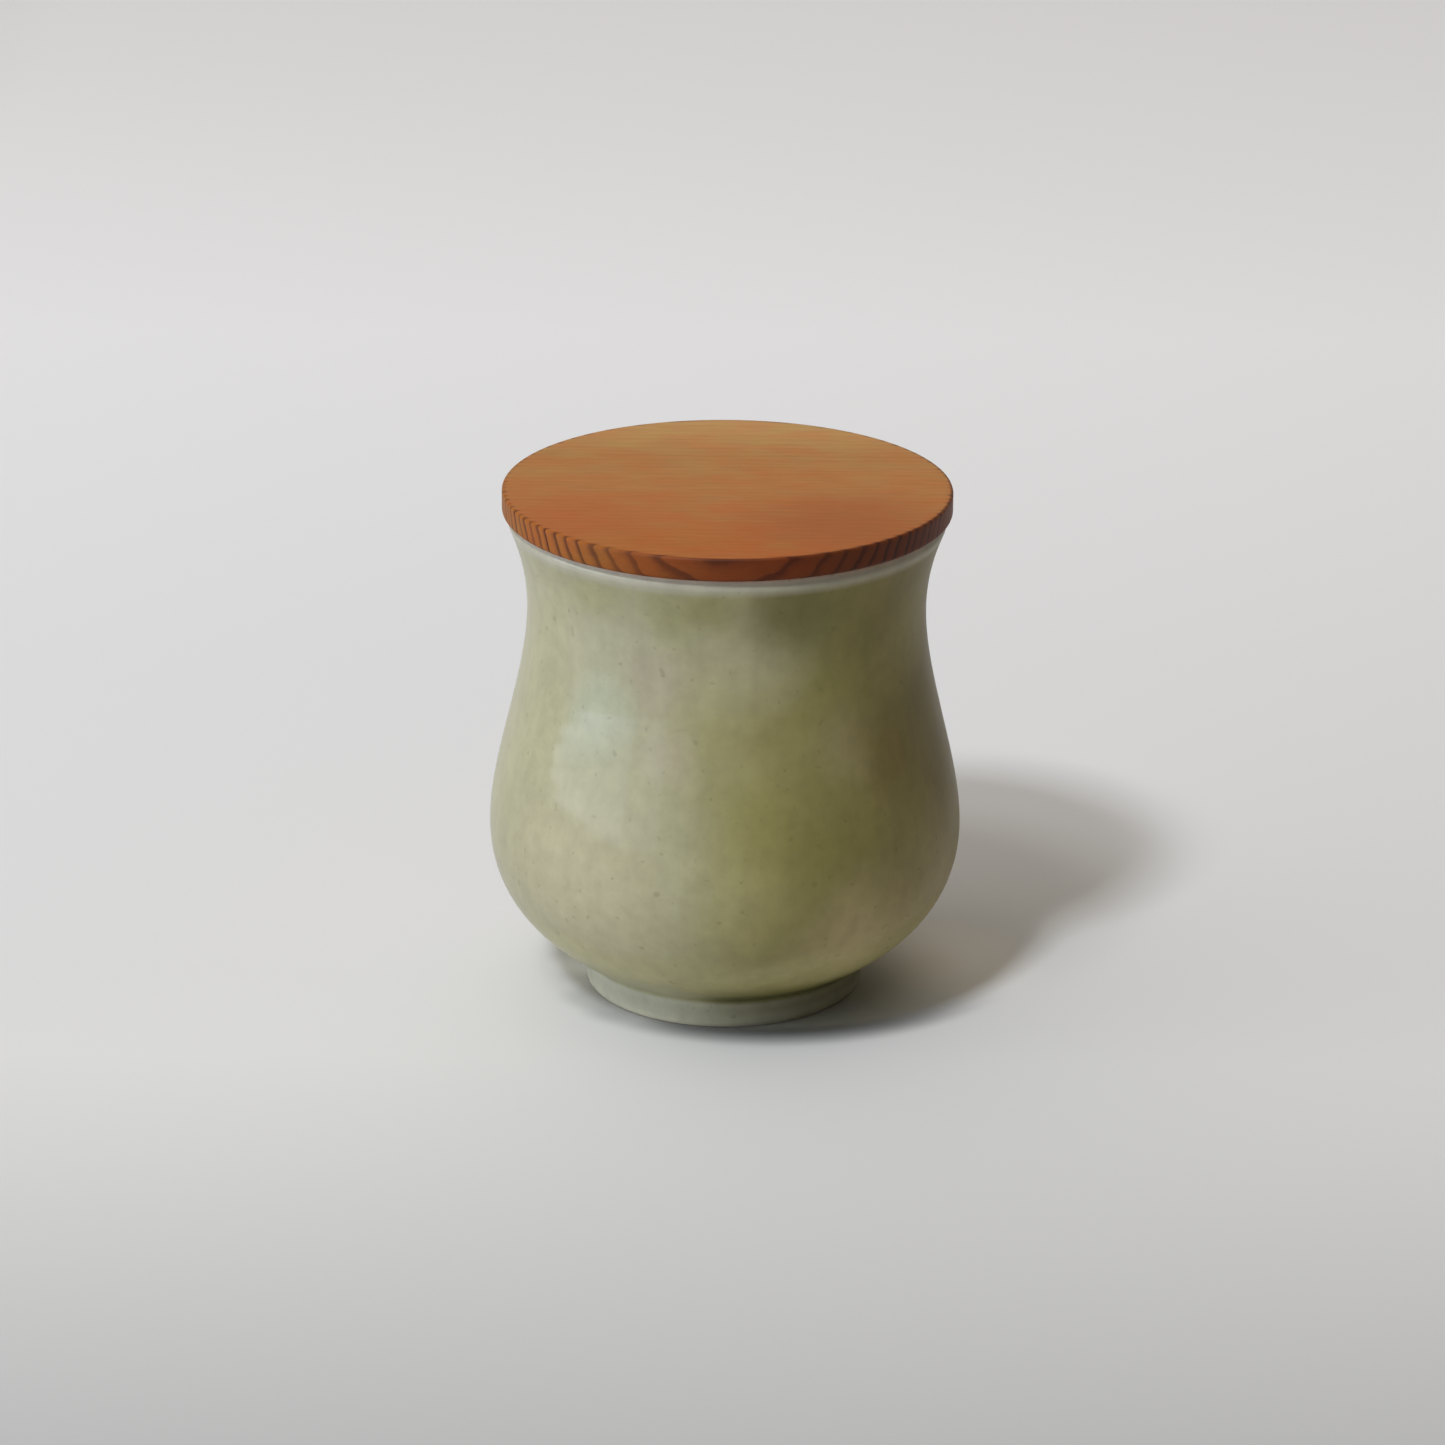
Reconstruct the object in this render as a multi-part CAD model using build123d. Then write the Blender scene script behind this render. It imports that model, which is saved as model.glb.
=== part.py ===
from build123d import *
import os
from math import asin, cos, degrees, radians, sqrt, tan

# A small lidded jar: a glazed jar on a foot ring, a turned wooden lid, and the soft
# ring in the lid's groove that closes the mouth. Millimetres, +Z up. The origin is
# the centre of the foot, on the surface that the jar stands on.

# Jar, from the floor up
foot_radius = 24.2         # outside of the foot ring at the floor
foot_taper = 0.6           # the foot is this much wider at its top
foot_height = 5.4          # floor to the crease under the bowl
ring_width = 4.0           # flat face that the jar stands on, without its rounding
ring_rounding = 0.6
recess_depth = 3.5         # hollow under the base, inside the foot ring
recess_draft = 0.5         # the hollow is this much narrower at its ceiling
recess_rounding = 2.0
crease_rounding = 1.2      # where the bowl springs from the foot
bowl_slope = 29.0          # degrees above level where the bowl leaves the foot
bowl_reach = 0.61          # share of the way out to the belly that keeps that slope
bowl_height = 24.6         # crease to the widest place of the belly
belly_radius = 41.5
belly_curve = 29.5         # radius of the upright curve at the belly
shoulder_height = 40.0     # belly to the neck
neck_radius = 34.8
neck_curve = 38.5          # radius of the upright curve at the neck and of the flare
lip_height = 17.2          # neck to the rim

# Jar, inside
wall = 3.3                 # from the belly up
base_thickness = 4.0
floor_flat_radius = 10.0   # the inside floor is level this far out
floor_reach = 0.43         # share of the way out to the belly that stays near level
rim_land = 0.8             # narrow level face on the rounded lip, where the lid sits

# Lid
lid_overhang = 1.05        # past the widest place of the lip
lid_thickness = 4.1
lid_top_rounding = 0.5
lid_lower_rounding = 0.7
spigot_depth = 8.0         # below the lid's underside
spigot_clearance = 1.0     # to the mouth, where the mouth is narrowest
spigot_rounding = 1.0

# Seal ring and its groove
groove_drop = 2.2          # lid's underside to the top of the groove
groove_height = 3.6
groove_depth = 1.8
groove_rounding = 0.25
seal_side_gap = 0.1        # seal to each side of the groove
seal_stand = 0.2           # the seal's web stands this far out of the groove
fin_root = 1.3             # thickness of a fin where it leaves the web
fin_tip = 0.6
fin_lift = 0.7             # a fin's tip is pushed up by this much
fin_clearance = 0.15       # fin to the mouth's wall
fin_rounding = 0.25

# Worked out from the sizes above
floor_level = recess_depth + base_thickness
crease_radius = foot_radius + foot_taper
belly_level = foot_height + bowl_height
neck_level = belly_level + shoulder_height
rim_level = neck_level + lip_height
lip_round = wall / 2
lip_level = rim_level - sqrt(lip_round**2 - (rim_land / 2) ** 2)
flare_angle = asin((lip_level - neck_level) / (neck_curve + lip_round))
lip_radius = neck_radius + neck_curve - (neck_curve + lip_round) * cos(flare_angle)


def curvature_handle(sideways, radius):
    """Length of a cubic's upright end handle that gives its end this radius of curvature."""
    return sqrt(2 / 3 * abs(sideways) * radius)


def outer_bowl():
    """Outside of the bowl, from the crease over the foot to the belly."""
    reach = bowl_reach * (belly_radius - crease_radius)
    lead = (crease_radius + reach, foot_height + reach * tan(radians(bowl_slope)))
    handle = curvature_handle(belly_radius - lead[0], belly_curve)
    return Bezier(
        (crease_radius, foot_height),
        lead,
        (belly_radius, belly_level - handle),
        (belly_radius, belly_level),
    )


def inner_bowl():
    """Inside of the bowl, from its level floor to the belly."""
    radius = belly_radius - wall
    reach = floor_flat_radius + floor_reach * (radius - floor_flat_radius)
    handle = curvature_handle(radius - reach, belly_curve - wall)
    return Bezier(
        (floor_flat_radius, floor_level),
        (reach, floor_level),
        (radius, belly_level - handle),
        (radius, belly_level),
    )


def shoulder(inset):
    """One face of the wall from the belly to the neck, inset from the outside."""
    step = belly_radius - neck_radius
    belly_handle = curvature_handle(step, belly_curve - inset)
    neck_handle = curvature_handle(step, neck_curve + inset)
    return Bezier(
        (belly_radius - inset, belly_level),
        (belly_radius - inset, belly_level + belly_handle),
        (neck_radius - inset, neck_level - neck_handle),
        (neck_radius - inset, neck_level),
    )


def flare(inset):
    """One face of the wall from the neck to the lip: an arc, inset from the outside."""
    centre = (neck_radius + neck_curve, neck_level)
    turn = degrees(flare_angle)
    return CenterArc(centre, neck_curve + inset, 180 - turn, turn)


def rounded_lip():
    """The lip: a half round across the wall, with a narrow level land on top."""
    centre = (lip_radius, lip_level)
    lean = degrees(flare_angle)
    land = degrees(asin(rim_land / 2 / lip_round))
    CenterArc(centre, lip_round, -lean, 90 - land + lean)
    CenterArc(centre, lip_round, 90 + land, 90 - land - lean)
    Line((lip_radius - rim_land / 2, rim_level), (lip_radius + rim_land / 2, rim_level))


def foot_outline():
    """The hollow under the base, the ring that the jar stands on and the foot's outside."""
    inside = foot_radius - ring_width - 2 * ring_rounding
    FilletPolyline(
        (0, recess_depth),
        (inside - recess_draft, recess_depth),
        (inside, 0),
        (foot_radius, 0),
        (crease_radius, foot_height),
        radius=[recess_rounding, ring_rounding, ring_rounding],
    )


def round_edge(solid, radius, level):
    """The circular edge of a turned solid nearest to this radius and level."""
    rings = solid.edges().filter_by(GeomType.CIRCLE)
    return rings.sort_by(lambda ring: abs(ring.radius - radius) + abs(ring.center().Z - level))[0]


def make_jar():
    with BuildPart() as jar:
        with BuildSketch(Plane.XZ):
            with BuildLine():
                foot_outline()
                outer_bowl()
                shoulder(0)
                flare(0)
                rounded_lip()
                flare(wall)
                shoulder(wall)
                inner_bowl()
                Line((floor_flat_radius, floor_level), (0, floor_level))
                Line((0, floor_level), (0, recess_depth))
            make_face()
        revolve(axis=Axis.Z)
        fillet(round_edge(jar.part, crease_radius, foot_height), crease_rounding)
    return jar.part


def mouth_radius(level):
    """Radius of the mouth's inside at this level; below the neck, what the neck lets past."""
    rise = max(level - neck_level, 0)
    return neck_radius + neck_curve - sqrt((neck_curve + wall) ** 2 - rise**2)


spigot_radius = mouth_radius(rim_level - spigot_depth) - spigot_clearance
groove_top = rim_level - groove_drop
groove_bottom = groove_top - groove_height
groove_radius = spigot_radius - groove_depth


def make_lid():
    radius = lip_radius + lip_round + lid_overhang
    bottom = rim_level - spigot_depth
    top = rim_level + lid_thickness
    corners = [
        ((spigot_radius, bottom), spigot_rounding),
        ((spigot_radius, groove_bottom), 0),
        ((groove_radius, groove_bottom), groove_rounding),
        ((groove_radius, groove_top), groove_rounding),
        ((spigot_radius, groove_top), 0),
        ((spigot_radius, rim_level), 0),
        ((radius, rim_level), lid_lower_rounding),
        ((radius, top), lid_top_rounding),
    ]
    points = [point for point, rounding in corners]
    with BuildPart() as lid:
        with BuildSketch(Plane.XZ):
            with BuildLine():
                FilletPolyline((0, bottom), *points, (0, top), radius=[r for p, r in corners])
                Line((0, top), (0, bottom))
            make_face()
        revolve(axis=Axis.Z)
    return lid.part


def fin(root_radius, root_level):
    """Outline of one fin of the seal, from its lower root round to its upper root."""
    tip_level = root_level + fin_lift
    tip_radius = mouth_radius(tip_level) - fin_clearance
    return [
        ((root_radius, root_level), 0),
        ((tip_radius, tip_level), fin_rounding),
        ((tip_radius, tip_level + fin_tip), fin_rounding),
        ((root_radius, root_level + fin_root), 0),
    ]


def make_lid_seal():
    bottom = groove_bottom + seal_side_gap
    top = groove_top - seal_side_gap
    web = spigot_radius + seal_stand
    back = [((groove_radius, top), groove_rounding), ((groove_radius, bottom), groove_rounding)]
    corners = fin(web, bottom) + fin(web, top - fin_root) + back
    with BuildPart() as seal:
        with BuildSketch(Plane.XZ):
            with BuildLine():
                FilletPolyline(*[p for p, r in corners], radius=[r for p, r in corners], close=True)
            make_face()
        revolve(axis=Axis.Z)
    return seal.part


os.makedirs("parts", exist_ok=True)
export_step(make_jar(), "parts/jar.step")
export_step(make_lid(), "parts/lid.step")
export_step(make_lid_seal(), "parts/lid_seal.step")
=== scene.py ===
from math import asin, atan2, ceil, cos, dist, exp, pi, radians, sin, sqrt, tan

import bpy
from mathutils import Matrix, Vector, noise


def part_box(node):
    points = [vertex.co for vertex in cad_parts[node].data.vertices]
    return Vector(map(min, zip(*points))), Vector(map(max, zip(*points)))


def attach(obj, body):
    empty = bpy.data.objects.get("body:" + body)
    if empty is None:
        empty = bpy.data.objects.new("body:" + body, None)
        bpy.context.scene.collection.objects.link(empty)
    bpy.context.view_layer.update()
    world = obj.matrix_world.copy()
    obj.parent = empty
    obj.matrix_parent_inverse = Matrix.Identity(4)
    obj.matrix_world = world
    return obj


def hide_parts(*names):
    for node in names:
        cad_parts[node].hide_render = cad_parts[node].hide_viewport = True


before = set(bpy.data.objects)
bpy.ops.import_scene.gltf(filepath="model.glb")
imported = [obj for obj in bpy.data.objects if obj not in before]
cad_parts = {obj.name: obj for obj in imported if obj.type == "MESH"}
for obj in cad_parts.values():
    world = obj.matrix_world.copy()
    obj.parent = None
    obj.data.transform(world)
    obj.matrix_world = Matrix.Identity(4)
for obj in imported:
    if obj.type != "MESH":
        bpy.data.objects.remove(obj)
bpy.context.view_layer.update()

# A small lidded jar: celadon-glazed stoneware on a foot ring, a turned cedar lid, and the
# silicone ring in the lid's groove. Lengths here are millimetres, and MM turns them into
# Blender's metres. The jar faces -Y, and its axis is Z.
MM = 0.001


def reach(node):
    """Radius, lowest level and highest level of a turned piece of the frame."""
    low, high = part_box(node)
    return high.x / MM, low.z / MM, high.z / MM


# Jar
belly_radius, _, rim_level = reach("jar")
foot_radius = 24.2
foot_taper = 0.6
foot_height = 5.4
ring_width = 4.0           # bare face that the jar stands on
ring_rounding = 0.6
recess_depth = 3.5
recess_draft = 0.5
recess_rounding = 2.0
crease_rounding = 1.2
bowl_slope = 29.0
bowl_reach = 0.61
belly_level = 30.0
belly_curve = 29.5
neck_level = 70.0
neck_radius = 34.8
neck_curve = 38.5
wall = 3.3
floor_level = 7.5          # of the inside
floor_flat_radius = 10.0
floor_reach = 0.43
rim_land = 0.8
lip_round = wall / 2
lip_level = rim_level - sqrt(lip_round**2 - (rim_land / 2) ** 2)
flare_angle = asin((lip_level - neck_level) / (neck_curve + lip_round))
lip_radius = neck_radius + neck_curve - (neck_curve + lip_round) * cos(flare_angle)
crease_radius = foot_radius + foot_taper

# What the potter's hands and the glaze leave on it
mark_pitch = 4.6           # rise of the throwing spiral in one turn
outside_mark = 0.012       # depth of the spiral, smoothed outside with a rib
inside_mark = 0.1
mark_drift = 4.0           # radians by which the uneven wall carries the spiral along
mark_fade = 9              # points of the outline over which the marks fade in
unevenness = 0.12          # slow wander of the wall
unevenness_size = 26.0
glaze_end = 0.5            # the glaze stops this far above the surface that it stands on
glaze_roll = 0.1           # the bead that the glaze ends in
glaze_roll_width = 0.45

# Lid
lid_radius, spigot_bottom, lid_top = reach("lid")
lid_top_rounding = 0.5
lid_lower_rounding = 0.7
spigot_radius = 31.5
spigot_rounding = 1.0
groove_radius = 29.7
groove_top = 85.0
groove_bottom = 81.4
groove_rounding = 0.25
sanded_edge = 0.15         # what sandpaper takes off a sharp edge

# Seal ring
seal_radius, seal_bottom, seal_top = reach("lid_seal")
seal_web = 31.7
fin_root = 1.3
fin_tip = 0.6
fin_lift = 0.7
fin_rounding = 0.25
seal_rounding = 0.2
parting_line = 0.05        # height of the moulding line round each fin's tip
parting_line_width = 0.12
fin_start = 1.0            # past the web by this much, the surface is a fin's

# Glaze, from the left of the jar to the right: X, colour, colour where it is thin over the foot.
glaze_sides = [
    (-38, "#a5a07f", "#c2c1ac"),
    (-10, "#a5a17e", "#bab89f"),
    (0, "#9b9568", "#a9a68b"),
    (8, "#948d5a", "#908c72"),
    (16, "#8b8450", "#878468"),
    (28, "#83794a", "#918c6b"),
    (38, "#7b6e42", "#918b68"),
]
glaze_width = 84.0         # the colours above are laid across this width
glaze_drift = 9.0          # how far the clouds are pushed about
drift_size = 14.0          # of the pattern that pushes them
cloud_size = 20.0
cloud_tones = (0.93, 1.07)     # the darkest and the palest
mottle_size = 3.0
mottle_tones = (0.91, 1.09)
run_size = (2.6, 2.6, 30.0)    # of a streak where the glaze ran down
run_tones = (0.96, 1.04)
speck_size = 1.4           # between the places where an iron speck may have burnt through
skin_size = 1.6            # of the faint waves in the fired surface
skin_relief = 0.012
thin_until = 0.9           # the foot's glaze is thin up to this far below the crease
thick_from = 0.2           # and as thick as the rest from this far below it
bare_until = 0.2           # the clay is bare up to this far below the glaze's end
glazed_from = 0.1          # and covered from this far above it
patch_core = 0.15          # share of a patch's spread that has its full colour
# A patch is (degrees to the right of the front, level, spread, colour, share).
glaze_patches = [
    (-38, 70, 17, "#ada98f", 0.6),
    (4, 75, 17, "#a9a485", 0.7),
    (-38, 28, 26, "#b1a98a", 0.85),
    (9, 43, 13, "#938e4f", 0.4),
    (24, 41, 15, "#817a45", 0.7),
    (33, 56, 9, "#9a8e66", 0.5),
    (48, 53, 11, "#73623a", 0.55),
    (62, 70, 13, "#9f9663", 0.65),
    (-20, 67, 9, "#a89c86", 0.5),
    # This pale bluish patch is a painted reflection: it carries the window's reflection on the left up
    # towards the neck.
    (-38, 60, 10, "#abb097", 0.65),
    (-13, 55, 8, "#ada388", 0.6),
    (36, 19, 18, "#b8a87a", 0.9),
    (64, 24, 22, "#a89b6f", 0.8),
    (-38, 81, 7, "#a09b72", 0.6),
    (-16, 80, 8, "#8d8a5c", 0.6),
    (-5, 81, 6.5, "#878551", 0.6),
    (18, 80, 13, "#736e43", 0.9),
    (160, 40, 26, "#948f5c", 0.7),
    (-140, 30, 22, "#aea587", 0.7),
]
# A band is (name, starts, full, ends, gone, colour, share, edge), in levels. A ragged band
# wanders with the clouds, and the third kind lies only at the front and right of the crease,
# where the glaze pools and shade is painted.
glaze_bands = [
    ("low green", 7, 12, 15, 21, "#b4ae78", 0.5, "ragged"),
    ("thin lip", 83.4, 85.5, 99, 100, "#b0ac98", 0.9, "even"),
    # At the lip's crown the glaze breaks pale, and light is painted there too, where the lid's overhang
    # shades the lip.
    ("lip's crown", 85.9, 86.9, 99, 100, "#e6e2d2", 0.85, "even"),
    # Low on the foot the glaze is thin, and light is painted there too, paler towards the bottom, as if
    # thrown up from the floor.
    ("thin glaze and painted light low on the foot", -2.0, -1.0, 0.8, 3.4, "#dcd8bc", 0.5, "even"),
    # Painted shade: these two bands darken the crease over the foot at the front and right, where the glaze
    # also pools.
    ("glaze pool and painted shade over the foot", 4.9, 5.8, 7.0, 11.5, "#6b6736", 0.8, "shaded_pool"),
    ("crease", 4.2, 5.3, 6.5, 8.4, "#4f4f2d", 0.75, "shaded_pool"),
]
# Where the pool and its painted crease shade lie, at the front and right:
shaded_pool_middle = 13.0         # X of the middle of the pool
shaded_pool_full = 10.0           # half its width where it is deep
shaded_pool_edge = 20.0           # half its width in all

# Cedar
pith = (65.6, 55.0)        # Y and Z of the line that the growth rings go round
ring_pitch = 1.8
first_ring = 109.2         # the ring that shows as a V on the front of the edge
ring_waver = 1.2           # how far a ring wavers along the trunk
waver_size = (90.0, 30.0, 30.0)
ring_ripple = 0.9          # and how far it ripples, over a few millimetres
ripple_size = 4.0
year_spread = 1.2          # how far uneven years push a ring out
year_change = 5.0          # of wood from a run of wide years to a run of narrow ones
# Real fibres are about 0.04 across. They are drawn as coarse as they need to show.
fibre_size = (7.0, 0.6, 0.6)
fibre_relief = 0.03
figure_size = (9.0, 5.0, 5.0)
# The edge's darkening is oil in its end grain and painted shade, which deepens towards the right.
oil_and_shade_reach = 0.7            # the edge's oil shows this far in on the lid's face
latewood_reach = 1.3       # and its dark growth lines show this far in
edge_full = 0.2            # both are full from this far in to the edge
# The board from the front of the lid to its back: Y, colour of its redder and yellower parts.
board_rows = [
    (-39, "#a95a20", "#a5642a"),
    (-30, "#aa5b20", "#a56628"),
    (-15, "#ae632b", "#a86e36"),
    (0, "#ae6a32", "#aa743c"),
    (18, "#ad7039", "#a97b42"),
    (30, "#b8804a", "#b48b50"),
    (39, "#bc8a54", "#b89459"),
]
# A patch of the board is (X, Y, spread, colour, share).
board_patches = [(20, -20, 24, "#9a5726", 0.75), (-26, -18, 18, "#ab5e2a", 0.6)]
# Through one growth ring, outwards: share of the way, how much of the latewood's dark shows,
# from black for none of it to white for all of it.
ring_seasons = [
    (0.0, "#e0e0e0"),
    (0.07, "#303030"),
    (0.20, "#000000"),
    (0.48, "#202020"),
    (0.70, "#a0a0a0"),
    (0.86, "#ffffff"),
]
# The oiled edge from its left to its right: share of the way, what multiplies the wood's colour. It darkens
# the edge for the oil, and more towards the right as painted shade.
edge_oil_and_shade = [
    (0.14, "#e6e2b4"),
    (0.42, "#bea38e"),
    (0.55, "#a98e7a"),
    (0.74, "#937b60"),
    (0.94, "#967748"),
    (1.0, "#ae8f58"),
]

# Silicone
dust_size = 0.8            # of the dull and shiny places on its skin

# Paper under the jar
floor_width = 6000.0
paper_near, paper_far = -200.0, 400.0      # Y where its tones start and end
# From the near end to the far end: share of the way, colour.
paper_rows = [
    (0.0, "#b4b4b3"),
    (0.2, "#d3d3d1"),
    (0.27, "#dbdbd9"),
    (0.33, "#dbdbda"),
    (0.6, "#e4e4e4"),
    (1.0, "#f4f4f5"),
]
paper_left = -1000.0       # X where its dimness near the window lamps starts; it ends at the jar
# Painted shade that takes back the window lamps' glow on the paper, from the left to the jar: share of the
# way, what is left of the tone.
paper_painted_shade_near_windows = [
    (0.095, "#ffffff"),
    (0.1, "#a0a0a0"),
    (0.2, "#aeaeae"),
    (0.4, "#cbcbcb"),
    (0.7, "#efefef"),
    (0.8, "#ffffff"),
]
# Painted light and painted shadow on the paper round the foot: a patch is (X, Y, spread, colour, share).
# The pale ones lighten the jar's shadow and the dark ones deepen it.
paper_painted_light_and_shadow = [
    (36, 6, 24, "#fffaf0", 0.7),
    (-25.5, 3.5, 7, "#ffffff", 0.75),
    (-23.5, -11, 7, "#14171c", 0.2),
    (-19.5, -17, 7, "#14171c", 0.2),
]
# A painted shadow, a dark crescent on the paper in front of the foot: on each of its sides, where it starts
# and where it is full.
painted_shadow_centre = (7.7, 19.0, 0.0)
painted_shadow_depth = 0.65
painted_shadow_inside = (42.0, 45.5)     # from the centre
painted_shadow_outside = (52.0, 46.0)    # from the centre
painted_shadow_left = (-28.0, -4.0)      # in X
painted_shadow_back = (-5.0, -25.0)      # in Y

# Lamps
lamp_distance = 2500.0
lamp_target = Vector((0, 0, 45))
# A lamp is (name, degrees left of the camera, degrees above the floor, size, power, colour).
lamps = [
    ("key", 34, 50.5, (340, 320), 33.5, "#f3f7ff"),
    ("second_key", 41, 62, (420, 400), 9.0, "#f3f7ff"),
]
window_distance = 900.0
window_height = 300.0
window_shade = "#d8e8ff"
# A window is (degrees left of the camera where it starts, where it ends, brightness).
windows = [(98, 72, 4.5), (72, 50, 4.2), (50, 32, 2.2)]
# The brightest part of the room is above, behind and to the left.
room_side = Vector((-0.3, 0.4, 0.87)).normalized()
# From across to towards that side: cosine of the angle to it, colour of the light.
room_tones = [(0.3, "#302d28"), (0.6, "#8a8378"), (0.82, "#e0d8ce"), (1.0, "#ebe5dc")]
# From the floor to overhead: sine of the height, colour that the eye and reflections see.
backdrop_tones = [(0.15, "#dddddd"), (0.35, "#6b665e"), (0.8, "#efe9de")]

# Camera, fitted to the outline of the real jar
view_target = (-0.546, 0.0, 47.8)
view_height = 20.505               # degrees above the floor
view_distance = 975.0
view_roll = 0.472                  # degrees
view_lens = 138.41                 # focal length, behind a sensor of the next width
view_sensor = 36.0

# Mesh
outline_step = 0.9         # between points along a smooth outline
foot_step = 0.3
seal_step = 0.4
lip_points = 10            # along each half of the lip
corner_points = 6          # along a rounded corner
around = 256               # points round a turned piece
straight = radians(89)     # half the angle at a corner that needs no rounding
on_axis = 1e-6             # a point this near the axis is on it


# Outlines: lists of (radius, level) points

def cubic(a, b, c, d):
    """Points along a cubic span from a to d, without d."""
    count = ceil((dist(a, b) + dist(b, c) + dist(c, d)) / outline_step)
    points = []
    for i in range(count):
        t = i / count
        weights = ((1 - t) ** 3, 3 * (1 - t) ** 2 * t, 3 * (1 - t) * t**2, t**3)
        points.append(tuple(sum(w * p[k] for w, p in zip(weights, (a, b, c, d))) for k in (0, 1)))
    return points


def arc(centre, radius, start, end, count=None):
    """Points along an arc from one angle to another, without its end."""
    count = count or ceil(abs(end - start) * radius / outline_step)
    angles = [start + (end - start) * i / count for i in range(count)]
    return [(centre[0] + radius * cos(a), centre[1] + radius * sin(a)) for a in angles]


def rounded(corners, step=outline_step):
    """An outline through (radius, level, rounding) corners, with points at most a step apart."""
    points = []
    for i, (x, z, rounding) in enumerate(corners):
        corner = Vector((x, z))
        back = (Vector(corners[i - 1][:2]) - corner).normalized()
        ahead = (Vector(corners[(i + 1) % len(corners)][:2]) - corner).normalized()
        half = back.angle(ahead) / 2
        if not rounding or half > straight:
            points.append((x, z))
            continue
        middle = corner + (back + ahead).normalized() * rounding / sin(half)
        start = corner + back * rounding / tan(half) - middle
        turn = start.angle_signed(corner + ahead * rounding / tan(half) - middle)
        first = atan2(start.y, start.x)
        points += arc(middle, rounding, first, first - turn, corner_points)
        points.append(tuple(middle + Vector((cos(first - turn), sin(first - turn))) * rounding))
    filled = []
    for a, b in zip(points, points[1:]):
        count = ceil(dist(a, b) / step)
        for i in range(count):
            filled.append((a[0] + (b[0] - a[0]) * i / count, a[1] + (b[1] - a[1]) * i / count))
    return filled + points[-1:]


def curvature_handle(sideways, radius):
    """Length of a cubic's upright end handle that gives its end this radius of curvature."""
    return sqrt(2 / 3 * abs(sideways) * radius)


def bowl(inset, start, lead):
    """One face of the bowl, from its start to the belly."""
    radius = belly_radius - inset
    handle = curvature_handle(radius - lead[0], belly_curve - inset)
    return cubic(start, lead, (radius, belly_level - handle), (radius, belly_level))


def shoulder(inset):
    """One face of the wall from the belly to the neck."""
    step = belly_radius - neck_radius
    belly_handle = curvature_handle(step, belly_curve - inset)
    neck_handle = curvature_handle(step, neck_curve + inset)
    return cubic(
        (belly_radius - inset, belly_level),
        (belly_radius - inset, belly_level + belly_handle),
        (neck_radius - inset, neck_level - neck_handle),
        (neck_radius - inset, neck_level),
    )


def flare(inset):
    """One face of the wall from the neck to the lip."""
    return arc((neck_radius + neck_curve, neck_level), neck_curve + inset, pi, pi - flare_angle)


def foot():
    """The hollow under the base, the bare ring, and the foot's wall up to the crease."""
    inside = foot_radius - ring_width - 2 * ring_rounding
    lean = radians(bowl_slope)
    return rounded([
        (0, recess_depth, 0),
        (inside - recess_draft, recess_depth, recess_rounding),
        (inside, 0, ring_rounding),
        (foot_radius, 0, ring_rounding),
        (crease_radius, foot_height, crease_rounding),
        (crease_radius + cos(lean), foot_height + sin(lean), 0),
    ], foot_step)[:-1]


def outer_wall():
    """The outside from the crease to the lip, past the rounding of the crease."""
    span = bowl_reach * (belly_radius - crease_radius)
    lead = (crease_radius + span, foot_height + span * tan(radians(bowl_slope)))
    from_crease = bowl(0, (crease_radius, foot_height), lead)[2:]
    return from_crease + shoulder(0) + flare(0)


def wall_radius(level):
    """Radius of the outside at a level between the crease and the lip."""
    return min(outer_wall(), key=lambda point: abs(point[1] - level))[0]


def inner_wall():
    """The inside from the middle of the floor to the lip."""
    radius = belly_radius - wall
    span = floor_reach * (radius - floor_flat_radius)
    start = (floor_flat_radius, floor_level)
    level_floor = rounded([(0, floor_level, 0), (*start, 0)])[:-1]
    curved = bowl(wall, start, (floor_flat_radius + span, floor_level))
    return level_floor + curved + shoulder(wall) + flare(wall)


def lip():
    """The half-round lip, with the narrow land that carries the lid."""
    land = asin(rim_land / 2 / lip_round)
    centre = (lip_radius, lip_level)
    outside = arc(centre, lip_round, -flare_angle, pi / 2 - land, lip_points)
    inside = arc(centre, lip_round, pi / 2 + land, pi - flare_angle, lip_points)
    return outside + [(lip_radius + rim_land / 2, rim_level)] + inside


# Turned meshes

def normals(outline, closed):
    """The outward direction at each point of an outline that runs up its outside."""
    found = []
    last = len(outline) - 1
    for i in range(len(outline)):
        a = outline[i - 1 if i or closed else 0]
        b = outline[(i + 1) % len(outline) if i < last or closed else last]
        length = dist(a, b)
        found.append(((b[1] - a[1]) / length, (a[0] - b[0]) / length))
    return found


def turned(name, outline, material, shift=None, closed=False):
    """A mesh of the outline swept round the axis. shift(i, angle, radius, level) stands a point
    proud of the outline, in millimetres."""
    outward = normals(outline, closed)
    vertices, rings, faces = [], [], []
    for i, ((radius, level), (out, up)) in enumerate(zip(outline, outward)):
        if radius < on_axis:
            rings.append([len(vertices)] * around)
            vertices.append((0, 0, level * MM))
            continue
        rings.append(list(range(len(vertices), len(vertices) + around)))
        for j in range(around):
            angle = 2 * pi * j / around
            proud = shift(i, angle, radius, level) if shift else 0
            r, z = radius + proud * out, level + proud * up
            vertices.append((r * cos(angle) * MM, r * sin(angle) * MM, z * MM))
    pairs = list(zip(rings, rings[1:])) + ([(rings[-1], rings[0])] if closed else [])
    for lower, upper in pairs:
        for j in range(around):
            k = (j + 1) % around
            corners = (lower[j], lower[k], upper[k], upper[j])
            faces.append(tuple(dict.fromkeys(corners)))
    mesh = bpy.data.meshes.new(name)
    mesh.from_pydata(vertices, [], faces)
    mesh.shade_smooth()
    mesh.materials.append(material)
    piece = bpy.data.objects.new(name, mesh)
    bpy.context.scene.collection.objects.link(piece)
    return piece


def place_in_frame(piece, node, body):
    """Has a piece move with a body and stand for a CAD node, whose own mesh is hidden."""
    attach(piece, body)
    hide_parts(node)


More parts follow.
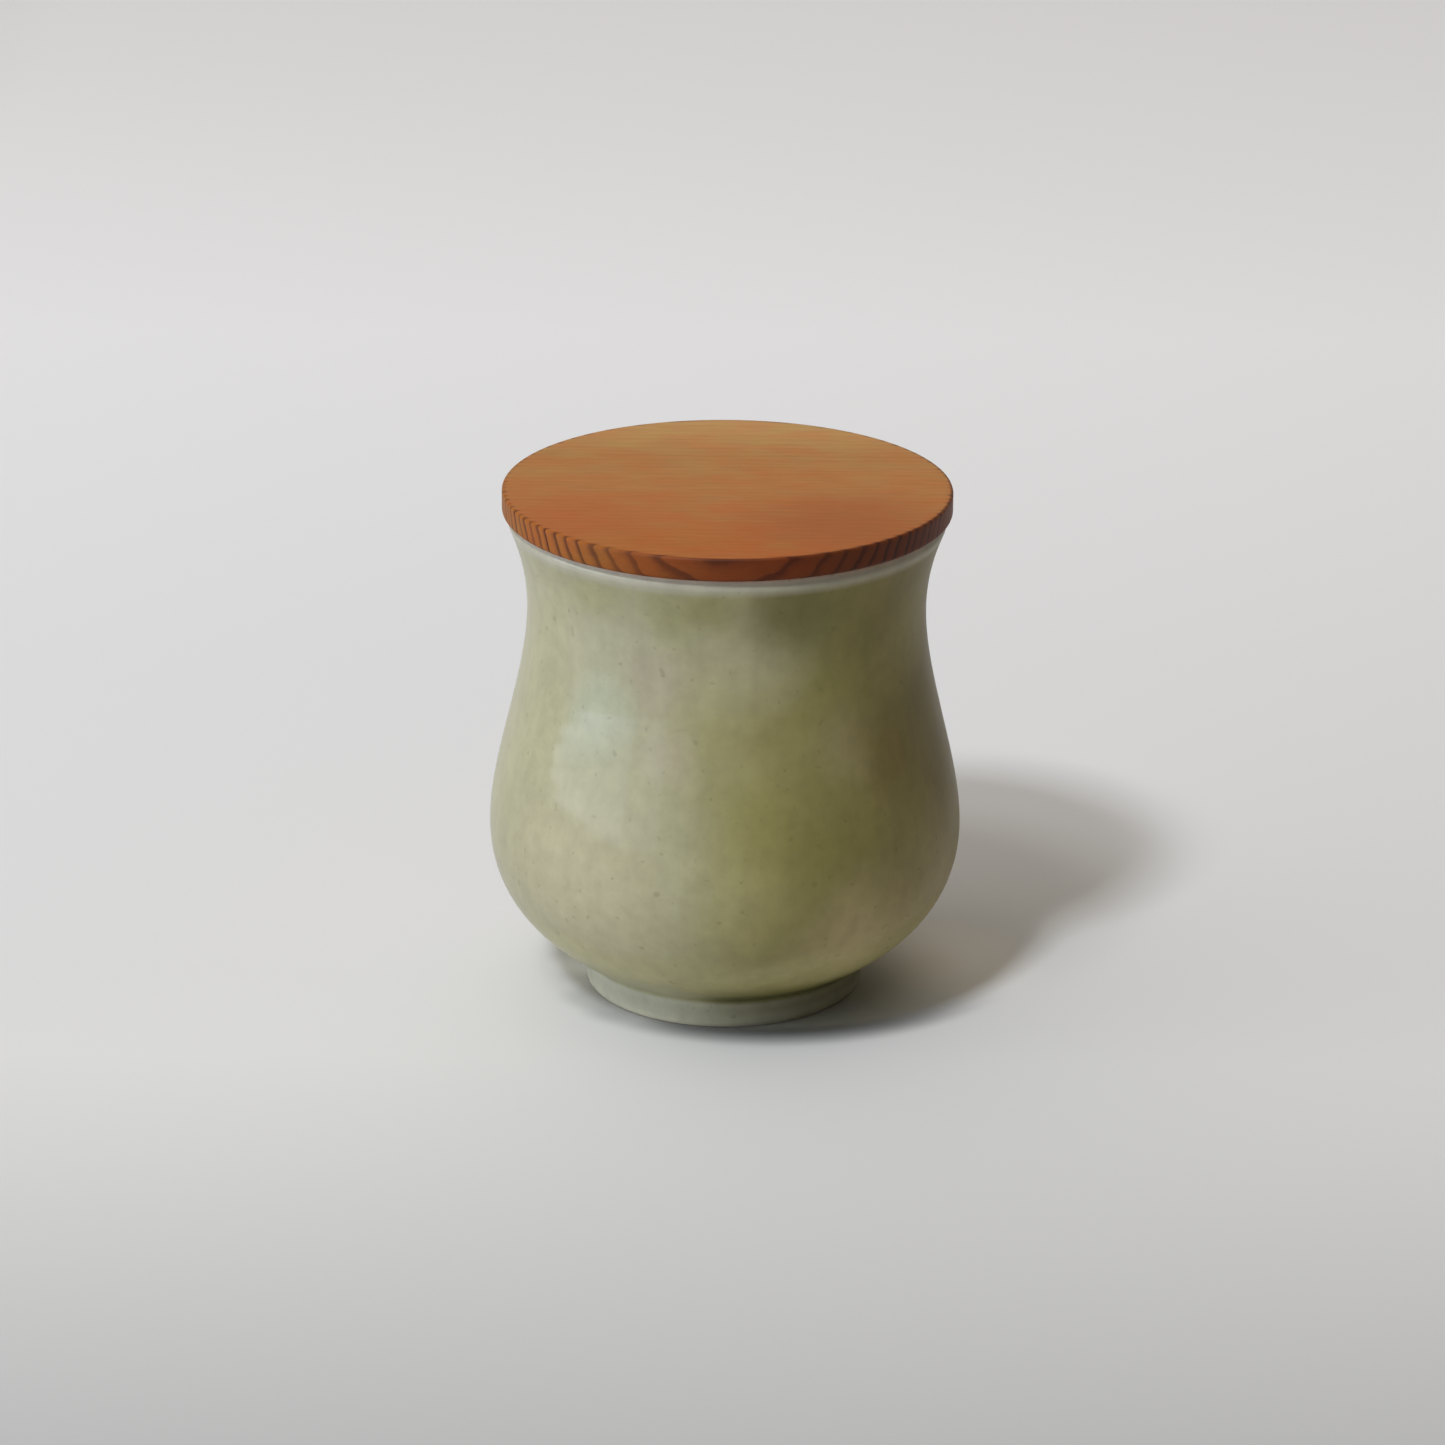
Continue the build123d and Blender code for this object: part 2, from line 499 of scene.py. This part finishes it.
def make_jar(material):
    # Stretches of the outline, from the hollow under the base up the outside and down the inside,
    # with the depth of the throwing marks on each.
    stretches = [
        (foot(), 0),
        (outer_wall(), outside_mark),
        (lip(), 0),
        (inner_wall()[::-1], inside_mark),
    ]
    outline = [point for points, _ in stretches for point in points]
    depths = [depth for points, depth in stretches for _ in points]
    near = [depths[max(i - mark_fade, 0):i + mark_fade + 1] for i in range(len(depths))]
    depths = [sum(some) / (2 * mark_fade + 1) for some in near]
    along = [0]
    for a, b in zip(outline, outline[1:]):
        along.append(along[-1] + dist(a, b))

    def shift(i, angle, radius, level):
        """Throwing marks, the wander of the wall, and the bead where the glaze ends."""
        place = Vector((radius * cos(angle), radius * sin(angle), level)) / unevenness_size
        slow = noise.noise(place)
        spiral = 0.5 + 0.5 * cos(2 * pi * along[i] / mark_pitch - angle + mark_drift * slow)
        wander = unevenness * (0.5 + 0.5 * slow) * min(depths[i] / outside_mark, 1)
        bead = 0
        if radius > foot_radius - ring_rounding and level < foot_height:
            bead = glaze_roll * exp(-((level - glaze_end - glaze_roll_width) / glaze_roll_width) ** 2)
        return bead - depths[i] * spiral - wander

    return turned("stoneware_jar", outline, material, shift)


def make_lid(material):
    outline = rounded([
        (0, spigot_bottom, 0),
        (spigot_radius, spigot_bottom, spigot_rounding),
        (spigot_radius, groove_bottom, sanded_edge),
        (groove_radius, groove_bottom, groove_rounding),
        (groove_radius, groove_top, groove_rounding),
        (spigot_radius, groove_top, sanded_edge),
        (spigot_radius, rim_level, sanded_edge),
        (lid_radius, rim_level, lid_lower_rounding),
        (lid_radius, lid_top, lid_top_rounding),
        (0, lid_top, 0),
    ])
    return turned("cedar_lid", outline, material)


def fin(level, tip_radius):
    """Corners of one fin of the seal, from its lower root round to its upper root."""
    return [
        (seal_web, level, seal_rounding),
        (tip_radius, level + fin_lift, fin_rounding),
        (tip_radius, level + fin_lift + fin_tip, fin_rounding),
        (seal_web, level + fin_root, seal_rounding),
    ]


def make_seal(material):
    # The mouth is narrower lower down, and the lower fin's tip with it.
    drop = seal_bottom - neck_level
    lower_tip = neck_radius + neck_curve - sqrt((neck_curve + wall) ** 2 - drop**2)
    roots = (seal_bottom, seal_top - fin_root)
    corners = fin(roots[0], lower_tip) + fin(roots[1], seal_radius)
    corners += [(groove_radius, level, groove_rounding) for level in (seal_top, seal_bottom)]
    seams = [root + fin_lift + fin_tip / 2 for root in roots]

    def shift(i, angle, radius, level):
        """The line where the two halves of the mould met, round the tip of each fin."""
        near = sum(exp(-((level - seam) / parting_line_width) ** 2) for seam in seams)
        return parting_line * near if radius > seal_web + fin_start else 0

    return turned("silicone_seal", rounded(corners, seal_step), material, shift, closed=True)


# Materials

def linear(shade):
    """An sRGB hex colour as Blender's linear red, green, blue and alpha."""
    channels = [int(shade[i:i + 2], 16) / 255 for i in (1, 3, 5)]
    return [c / 12.92 if c <= 0.04045 else ((c + 0.055) / 1.055) ** 2.4 for c in channels] + [1.0]


def add(tree, kind, inputs=None, ramp=None, output=None, **settings):
    """Adds a shader node with its settings and links, and gives its first output, or the one
    named. inputs are numbers, hex colours or other nodes' outputs, by socket name or index, and
    ramp is a list of (place, hex colour)."""
    made = tree.nodes.new("ShaderNode" + kind)
    for name, value in settings.items():
        setattr(made, name, value)
    for key, value in (inputs or {}).items():
        named = [s for s in made.inputs if s.enabled and s.name == key]
        socket = made.inputs[key] if isinstance(key, int) else named[0]
        if isinstance(value, bpy.types.NodeSocket):
            tree.links.new(value, socket)
        else:
            socket.default_value = linear(value) if isinstance(value, str) else value
    if ramp:
        stops = made.color_ramp.elements
        while len(stops) < len(ramp):
            stops.new(1.0)
        for stop, (place, shade) in zip(stops, ramp):
            stop.position = place
            stop.color = linear(shade)
    return next((s for s in made.outputs if s.enabled and output in (None, s.name)), None)


def new_material(name):
    """An empty material, its node tree and the place of each point in millimetres."""
    material = bpy.data.materials.new(name)
    material.use_nodes = True
    tree = material.node_tree
    tree.nodes.clear()
    metres = add(tree, "TexCoord", output="Object")
    place = add(tree, "VectorMath", {"Vector": metres, "Scale": 1 / MM}, operation="SCALE")
    return material, tree, place


def patched(tree, place, under, centre, spread, shade, share):
    """The colour of under with a soft patch of another shade on it."""
    away = add(tree, "VectorMath", {0: place, 1: centre}, operation="DISTANCE")
    near = add(tree, "MapRange", {
        "Value": away, "From Min": spread * patch_core, "From Max": spread, "To Min": share, "To Max": 0.0,
    }, interpolation_type="SMOOTHSTEP")
    return add(tree, "Mix", {"Factor": near, "A": under, "B": shade}, data_type="RGBA")


def celadon_glazed_stoneware():
    """Stoneware dipped in a wood-ash celadon and fired: soft clouds of olive, sage and beige
    where the glaze is thicker or thinner, a satin gloss, and a bare pale ring to stand on."""
    material, tree, place = new_material("celadon_glazed_stoneware")
    level = add(tree, "SeparateXYZ", {"Vector": place}, output="Z")

    # The clouds wander, because they are read at a place that is pushed about.
    drift = add(tree, "TexNoise", {"Vector": place, "Scale": 1 / drift_size, "Detail": 3.0}, output="Color")
    drift = add(tree, "VectorMath", {0: drift, 1: (0.5, 0.5, 0.5)}, operation="SUBTRACT")
    drift = add(tree, "VectorMath", {0: drift, "Scale": glaze_drift}, operation="SCALE")
    cloudy = add(tree, "VectorMath", {0: place, 1: drift})
    cloudy_level = add(tree, "SeparateXYZ", {"Vector": cloudy}, output="Z")

    # The colour turns from sage on the left to olive brown on the right, in soft clouds.
    across = add(tree, "SeparateXYZ", {"Vector": cloudy}, output="X")
    across = add(tree, "MapRange", {
        "Value": across, "From Min": -glaze_width / 2, "From Max": glaze_width / 2,
    })
    thick = [(0.5 + x / glaze_width, shade) for x, shade, _ in glaze_sides]
    thin = [(0.5 + x / glaze_width, shade) for x, _, shade in glaze_sides]
    glaze = add(tree, "ValToRGB", {"Fac": across}, thick)
    foot_glaze = add(tree, "ValToRGB", {"Fac": across}, thin)
    clouds = add(tree, "TexNoise", {"Vector": cloudy, "Scale": 1 / cloud_size, "Detail": 3.0})
    darkest, palest = cloud_tones
    tone = add(tree, "MapRange", {
        "Value": clouds, "From Min": 0.3, "From Max": 0.7, "To Min": darkest, "To Max": palest,
    })
    glaze = add(tree, "VectorMath", {0: glaze, "Scale": tone}, operation="SCALE")
    for turn, height, spread, shade, share in glaze_patches:
        radius = wall_radius(height)
        centre = (radius * sin(radians(turn)), -radius * cos(radians(turn)), height)
        glaze = patched(tree, cloudy, glaze, centre, spread, shade, share)

    # It is thin over the foot, and lies in bands round the jar: where it ran thin or pooled, and where
    # light and shade are painted on the lip, the foot and the crease.
    on_foot = add(tree, "MapRange", {
        "Value": level, "From Min": foot_height - thin_until, "From Max": foot_height - thick_from,
        "To Min": 1.0, "To Max": 0.0,
    })
    glaze = add(tree, "Mix", {"Factor": on_foot, "A": glaze, "B": foot_glaze}, data_type="RGBA")
    # Painted shade in the crease lies with the pool, only at the front and right.
    aside = add(tree, "SeparateXYZ", {"Vector": place}, output="X")
    aside = add(tree, "Math", {0: aside, 1: shaded_pool_middle}, operation="SUBTRACT")
    aside = add(tree, "Math", {0: aside}, operation="ABSOLUTE")
    shaded_pool = add(tree, "MapRange", {
        "Value": aside, "From Min": shaded_pool_full, "From Max": shaded_pool_edge, "To Min": 1.0, "To Max": 0.0,
    }, interpolation_type="SMOOTHSTEP")
    for name, start, full, end, gone, shade, share, edge in glaze_bands:
        read_at = cloudy_level if edge == "ragged" else level
        rise = add(tree, "MapRange", {
            "Value": read_at, "From Min": start, "From Max": full, "To Max": share,
        }, interpolation_type="SMOOTHSTEP")
        fall = add(tree, "MapRange", {
            "Value": read_at, "From Min": end, "From Max": gone, "To Min": 1.0, "To Max": 0.0,
        }, interpolation_type="SMOOTHSTEP")
        band = add(tree, "Math", {0: rise, 1: fall}, operation="MULTIPLY")
        if edge == "shaded_pool":
            band = add(tree, "Math", {0: band, 1: shaded_pool}, operation="MULTIPLY")
        glaze = add(tree, "Mix", {"Factor": band, "A": glaze, "B": shade}, data_type="RGBA", label=name)

    # Mottle, runs and iron specks lie over everything.
    mottle = add(tree, "TexNoise", {
        "Vector": place, "Scale": 1 / mottle_size, "Detail": 5.0, "Roughness": 0.6,
    })
    run = add(tree, "VectorMath", {0: place, 1: run_size}, operation="DIVIDE")
    runs = add(tree, "TexNoise", {"Vector": run, "Scale": 1.0, "Detail": 2.0})
    for pattern, (darkest, palest) in ((mottle, mottle_tones), (runs, run_tones)):
        tone = add(tree, "MapRange", {
            "Value": pattern, "From Min": 0.25, "From Max": 0.75, "To Min": darkest, "To Max": palest,
        })
        glaze = add(tree, "VectorMath", {0: glaze, "Scale": tone}, operation="SCALE")
    specks = add(tree, "TexNoise", {"Vector": place, "Scale": 1 / speck_size, "Detail": 0.0})
    specks = add(tree, "MapRange", {"Value": specks, "From Min": 0.76, "From Max": 0.84, "To Max": 0.25})
    glaze = add(tree, "Mix", {"Factor": specks, "A": glaze, "B": "#5f5c38"}, data_type="RGBA")

    # Below the glaze's end the clay is bare and matt. The glaze is less glossy on the right.
    bare = add(tree, "MapRange", {
        "Value": level, "From Min": glaze_end - bare_until, "From Max": glaze_end + glazed_from,
        "To Min": 1.0, "To Max": 0.0,
    })
    colour = add(tree, "Mix", {"Factor": bare, "A": glaze, "B": "#cbc2ac"}, data_type="RGBA")
    satin = add(tree, "MapRange", {
        "Value": mottle, "From Min": 0.3, "From Max": 0.7, "To Min": 0.35, "To Max": 0.45,
    })
    roughness = add(tree, "Mix", {"Factor": bare, "A": satin, "B": 0.85})
    skin = add(tree, "TexNoise", {"Vector": place, "Scale": 1 / skin_size, "Detail": 2.0})
    relief = add(tree, "Bump", {"Height": skin, "Strength": 0.5, "Distance": skin_relief * MM})
    glassy = add(tree, "MapRange", {
        "Value": across, "From Min": 0.35, "From Max": 1.0, "To Min": 0.37, "To Max": 0.08,
    }, interpolation_type="SMOOTHSTEP")
    glassy = add(tree, "Mix", {"Factor": bare, "A": glassy, "B": 0.0})
    surface = add(tree, "BsdfPrincipled", {
        "Base Color": colour,
        "Roughness": roughness,
        "IOR": 1.46,
        "Specular IOR Level": 0.06,
        "Normal": relief,
        "Coat Weight": glassy,
        "Coat Roughness": 0.09,
        "Coat IOR": 1.5,
        "Coat Normal": relief,
    })
    add(tree, "OutputMaterial", {"Surface": surface})
    return material


def oiled_cedar():
    """Flat-sawn cedar, turned, sanded and oiled: growth rings run through the board, fine fibres lie
    along X, and the turned edge is darker for the oil its end grain drinks and for painted shade, deeper
    towards the right."""
    material, tree, place = new_material("oiled_cedar")

    # Growth rings round the pith, which lies along X behind and below the lid. No two years
    # are as wide or as dark, and the rings waver along the trunk.
    out = add(tree, "VectorMath", {0: place, 1: (0, *pith)}, operation="SUBTRACT")
    out = add(tree, "VectorMath", {0: out, 1: (0, 1, 1)}, operation="MULTIPLY")
    growth = add(tree, "VectorMath", {0: out}, operation="LENGTH")
    along = add(tree, "VectorMath", {0: place, 1: waver_size}, operation="DIVIDE")
    waver = add(tree, "TexNoise", {"Vector": along, "Scale": 1.0, "Detail": 2.0})
    years = add(tree, "TexNoise", {
        "W": growth, "Scale": 1 / year_change, "Detail": 1.0,
    }, noise_dimensions="1D")
    ripple = add(tree, "TexNoise", {"Vector": place, "Scale": 1 / ripple_size, "Detail": 2.0})
    for wander, by in ((waver, ring_waver), (years, year_spread), (ripple, ring_ripple)):
        growth = add(tree, "Math", {0: wander, 1: by, 2: growth}, operation="MULTIPLY_ADD")
    start = first_ring + (ring_waver + year_spread + ring_ripple) / 2
    rings = add(tree, "Math", {0: growth, 1: start}, operation="SUBTRACT")
    rings = add(tree, "Math", {0: rings, 1: ring_pitch}, operation="DIVIDE")
    season = add(tree, "Math", {0: rings}, operation="FRACT")
    latewood = add(tree, "ValToRGB", {"Fac": season}, ring_seasons)
    year = add(tree, "Math", {0: rings}, operation="FLOOR")
    year = add(tree, "TexWhiteNoise", {"W": year}, noise_dimensions="1D")
    year = add(tree, "MapRange", {"Value": year, "To Min": 0.55, "To Max": 1.0})

    # Fibres: fine streaks along X, which are dots on the end grain, and a broader figure.
    stretched = add(tree, "VectorMath", {0: place, 1: fibre_size}, operation="DIVIDE")
    fibres = add(tree, "TexNoise", {"Vector": stretched, "Scale": 1.0, "Detail": 4.0, "Roughness": 0.6})
    broad = add(tree, "VectorMath", {0: place, 1: figure_size}, operation="DIVIDE")
    figure = add(tree, "TexNoise", {"Vector": broad, "Scale": 1.0, "Detail": 4.0, "Roughness": 0.6})
    figure = add(tree, "MapRange", {"Value": figure, "From Min": 0.35, "From Max": 0.65})
    back = add(tree, "SeparateXYZ", {"Vector": place}, output="Y")
    back = add(tree, "MapRange", {"Value": back, "From Min": -lid_radius, "From Max": lid_radius})
    redder = [(0.5 + y / lid_radius / 2, shade) for y, shade, _ in board_rows]
    yellower = [(0.5 + y / lid_radius / 2, shade) for y, _, shade in board_rows]
    redder = add(tree, "ValToRGB", {"Fac": back}, redder)
    yellower = add(tree, "ValToRGB", {"Fac": back}, yellower)
    wood = add(tree, "Mix", {"Factor": figure, "A": redder, "B": yellower}, data_type="RGBA")
    for x, y, spread, shade, share in board_patches:
        wood = patched(tree, place, wood, (x, y, lid_top), spread, shade, share)
    streaks = add(tree, "MapRange", {
        "Value": fibres, "From Min": 0.3, "From Max": 0.7, "To Min": 0.92, "To Max": 1.08,
    })
    wood = add(tree, "VectorMath", {0: wood, "Scale": streaks}, operation="SCALE")

    # The turned edge: oil soaks in, shade is painted on it, deeper towards the right, and the latewood
    # shows darker than on the face.
    flat = add(tree, "VectorMath", {0: place, 1: (1, 1, 0)}, operation="MULTIPLY")
    radius = add(tree, "VectorMath", {0: flat}, operation="LENGTH")
    edge = add(tree, "MapRange", {
        "Value": radius, "From Min": lid_radius - oil_and_shade_reach, "From Max": lid_radius - edge_full,
    }, interpolation_type="SMOOTHSTEP")
    across = add(tree, "SeparateXYZ", {"Vector": place}, output="X")
    across = add(tree, "MapRange", {"Value": across, "From Min": -lid_radius, "From Max": lid_radius})
    oil = add(tree, "ValToRGB", {"Fac": across}, edge_oil_and_shade)
    oiled = add(tree, "Mix", {
        "Factor": 1.0, "A": wood, "B": oil,
    }, data_type="RGBA", blend_type="MULTIPLY")
    wood = add(tree, "Mix", {"Factor": edge, "A": wood, "B": oiled}, data_type="RGBA")
    near_edge = add(tree, "MapRange", {
        "Value": radius, "From Min": lid_radius - latewood_reach, "From Max": lid_radius - edge_full,
    }, interpolation_type="SMOOTHSTEP")
    contrast = add(tree, "MapRange", {"Value": near_edge, "To Min": 0.1, "To Max": 1.0})
    dark = add(tree, "Math", {0: latewood, 1: contrast}, operation="MULTIPLY")
    dark = add(tree, "Math", {0: dark, 1: year}, operation="MULTIPLY")
    late = add(tree, "Mix", {
        "Factor": 1.0, "A": wood, "B": "#7d6552",
    }, data_type="RGBA", blend_type="MULTIPLY")
    wood = add(tree, "Mix", {"Factor": dark, "A": wood, "B": late}, data_type="RGBA")
    relief = add(tree, "Bump", {"Height": fibres, "Strength": 0.35, "Distance": fibre_relief * MM})
    surface = add(tree, "BsdfPrincipled", {
        "Base Color": wood,
        "Roughness": 0.55,
        "IOR": 1.45,
        "Specular IOR Level": 0.25,
        "Normal": relief,
    })
    add(tree, "OutputMaterial", {"Surface": surface})
    return material


def moulded_silicone():
    """Food-grade silicone, moulded: milky, soft and a little dull."""
    material, tree, place = new_material("moulded_silicone")
    dust = add(tree, "TexNoise", {"Vector": place, "Scale": 1 / dust_size, "Detail": 2.0})
    roughness = add(tree, "MapRange", {
        "Value": dust, "From Min": 0.3, "From Max": 0.7, "To Min": 0.42, "To Max": 0.6,
    })
    milk = add(tree, "ValToRGB", {"Fac": dust}, [(0.3, "#d2cfc6"), (0.7, "#dcd9d1")])
    surface = add(tree, "BsdfPrincipled", {
        "Base Color": milk,
        "Roughness": roughness,
        "IOR": 1.41,
        "Subsurface Weight": 0.15,
        "Subsurface Scale": 1.0 * MM,
    })
    add(tree, "OutputMaterial", {"Surface": surface})
    return material


def seen_ray(tree):
    """1 where the camera, a reflection or clear material looks straight at this surface."""
    camera = add(tree, "LightPath", output="Is Camera Ray")
    glossy = add(tree, "LightPath", output="Is Glossy Ray")
    clear = add(tree, "LightPath", output="Is Transmission Ray")
    seen = add(tree, "Math", {0: camera, 1: glossy}, operation="MAXIMUM")
    return add(tree, "Math", {0: seen, 1: clear}, operation="MAXIMUM")


def matt_paper():
    """A sheet of matt paper. It is paler to the eye than in the light that it throws back on the jar,
    darker towards the camera, painted darker near the window lamps, and painted with light and shadow round
    the foot."""
    material, tree, place = new_material("matt_paper")
    x = add(tree, "SeparateXYZ", {"Vector": place}, output="X")
    y = add(tree, "SeparateXYZ", {"Vector": place}, output="Y")
    depth = add(tree, "MapRange", {"Value": y, "From Min": paper_near, "From Max": paper_far})
    tone = add(tree, "ValToRGB", {"Fac": depth}, paper_rows)
    for side, front, spread, shade, share in paper_painted_light_and_shadow:
        tone = patched(tree, place, tone, (side, front, 0), spread, shade, share)
    aside = add(tree, "MapRange", {"Value": x, "From Min": paper_left, "From Max": 0.0})
    painted_shade_near_windows = add(tree, "ValToRGB", {"Fac": aside}, paper_painted_shade_near_windows)
    tone = add(tree, "Mix", {
        "Factor": 1.0, "A": tone, "B": painted_shade_near_windows,
    }, data_type="RGBA", blend_type="MULTIPLY")
    # The painted shadow in front of the foot.
    away = add(tree, "VectorMath", {0: place, 1: painted_shadow_centre}, operation="DISTANCE")
    limits = [(away, painted_shadow_inside), (away, painted_shadow_outside), (x, painted_shadow_left), (y, painted_shadow_back)]
    painted_shadow = painted_shadow_depth
    for value, (start, full) in limits:
        part = add(tree, "MapRange", {
            "Value": value, "From Min": start, "From Max": full,
        }, interpolation_type="SMOOTHSTEP")
        painted_shadow = add(tree, "Math", {0: painted_shadow, 1: part}, operation="MULTIPLY")
    tone = add(tree, "Mix", {"Factor": painted_shadow, "A": tone, "B": "#14171c"}, data_type="RGBA")
    tone = add(tree, "Mix", {"Factor": seen_ray(tree), "A": "#d2d0cd", "B": tone}, data_type="RGBA")
    surface = add(tree, "BsdfPrincipled", {"Base Color": tone, "Roughness": 0.8, "IOR": 1.3})
    add(tree, "OutputMaterial", {"Surface": surface})
    return material


# Stage, lamps and camera

def direction(turn, height):
    """Unit vector towards a place this many degrees left of the camera and above the floor."""
    turn, height = radians(turn), radians(height)
    return Vector((-sin(turn) * cos(height), -cos(turn) * cos(height), sin(height)))


def aim(thing, place, target, roll=0.0):
    """Puts a lamp or camera at a place in millimetres and points it at a target."""
    look = (Vector(target) - Vector(place)).to_track_quat("-Z", "Y").to_matrix().to_4x4()
    rolled = look @ Matrix.Rotation(radians(roll), 4, "Z")
    thing.matrix_world = Matrix.Translation(Vector(place) * MM) @ rolled


def make_floor():
    half = floor_width / 2 * MM
    corners = [(-half, -half, 0), (half, -half, 0), (half, half, 0), (-half, half, 0)]
    mesh = bpy.data.meshes.new("floor")
    mesh.from_pydata(corners, [], [(0, 1, 2, 3)])
    mesh.materials.append(matt_paper())
    floor = bpy.data.objects.new("floor", mesh)
    bpy.context.scene.collection.objects.link(floor)


def make_lamp(name, place, target, size, power, shade):
    lamp = bpy.data.lights.new(name, "AREA")
    lamp.shape = "RECTANGLE"
    lamp.size, lamp.size_y = size[0] * MM, size[1] * MM
    lamp.energy = power
    lamp.color = linear(shade)[:3]
    thing = bpy.data.objects.new(name, lamp)
    bpy.context.scene.collection.objects.link(thing)
    thing.visible_camera = False
    aim(thing, place, target)


def light_the_scene():
    for name, turn, height, size, power, shade in lamps:
        place = lamp_target + direction(turn, height) * lamp_distance
        make_lamp(name, place, lamp_target, size, power, shade)
    for i, (start, end, brightness) in enumerate(windows):
        along = [-window_distance / tan(radians(turn)) for turn in (start, end)]
        size = (along[0] - along[1], window_height)
        place = Vector((-window_distance, sum(along) / 2, window_height / 2))
        power = brightness * pi * size[0] * size[1] * MM**2
        make_lamp(f"window_{i + 1}", place, place + Vector((1, 0, 0)), size, power, window_shade)


def make_room():
    """The world: a room that lights the jar softly, and the backdrop that is seen instead."""
    world = bpy.data.worlds.new("studio")
    bpy.context.scene.world = world
    world.use_nodes = True
    tree = world.node_tree
    tree.nodes.clear()
    way = add(tree, "TexCoord", output="Generated")
    side = add(tree, "VectorMath", {0: way, 1: room_side}, operation="DOT_PRODUCT")
    room = add(tree, "ValToRGB", {"Fac": side}, room_tones)
    room = add(tree, "Background", {"Color": room, "Strength": 1.0})
    up = add(tree, "SeparateXYZ", {"Vector": way}, output="Z")
    backdrop = add(tree, "ValToRGB", {"Fac": up}, backdrop_tones)
    backdrop = add(tree, "Background", {"Color": backdrop, "Strength": 1.0})
    both = add(tree, "MixShader", {0: seen_ray(tree), 1: room, 2: backdrop})
    add(tree, "OutputWorld", {"Surface": both})


def make_camera():
    lens = bpy.data.cameras.new("camera")
    lens.lens = view_lens
    lens.sensor_width = view_sensor
    camera = bpy.data.objects.new("camera", lens)
    bpy.context.scene.collection.objects.link(camera)
    place = Vector(view_target) + direction(0, view_height) * view_distance
    aim(camera, place, view_target, view_roll)
    bpy.context.scene.camera = camera


make_camera()
make_floor()
light_the_scene()
make_room()
bpy.context.scene.view_settings.view_transform = "Standard"

jar = make_jar(celadon_glazed_stoneware())
lid = make_lid(oiled_cedar())
seal = make_seal(moulded_silicone())
place_in_frame(jar, "jar", "jar")
place_in_frame(lid, "lid", "lid")
place_in_frame(seal, "lid_seal", "lid")
